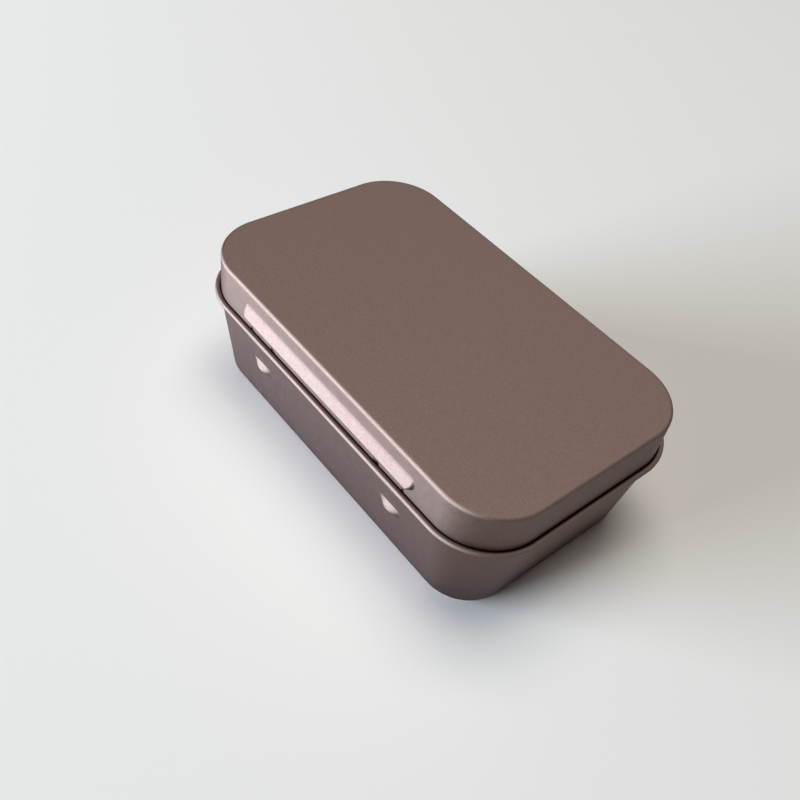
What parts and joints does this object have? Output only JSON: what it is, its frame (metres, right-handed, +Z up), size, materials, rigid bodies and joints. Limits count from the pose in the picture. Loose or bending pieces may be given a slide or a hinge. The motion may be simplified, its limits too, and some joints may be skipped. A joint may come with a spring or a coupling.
{
  "type": "hinged game tin",
  "caption": "Pocket tin for a card game: drawn base with a rolled rim and a lid that plugs into it on curled tongue hinges.",
  "frame": {"origin": "middle of the underside of the base", "axes": "+X along the long side, +Y towards the hinge side, +Z up"},
  "size_m": [0.1098, 0.068, 0.0368],
  "materials": {
    "base_lacquer": "satin bronze brown metallic lacquer",
    "lid_lacquer": "satin bronze brown metallic lacquer"
  },
  "bodies": {
    "base": {"base": "base_lacquer"},
    "lid": {"lid": "lid_lacquer"}
  },
  "joints": [
    {"name": "lid_hinge", "type": "hinge", "parent": "base", "child": "lid", "pos_m": [0, 0.03329, 0.02565], "axis": [-1, 0, 0], "range_deg": [0, 180]}
  ]
}
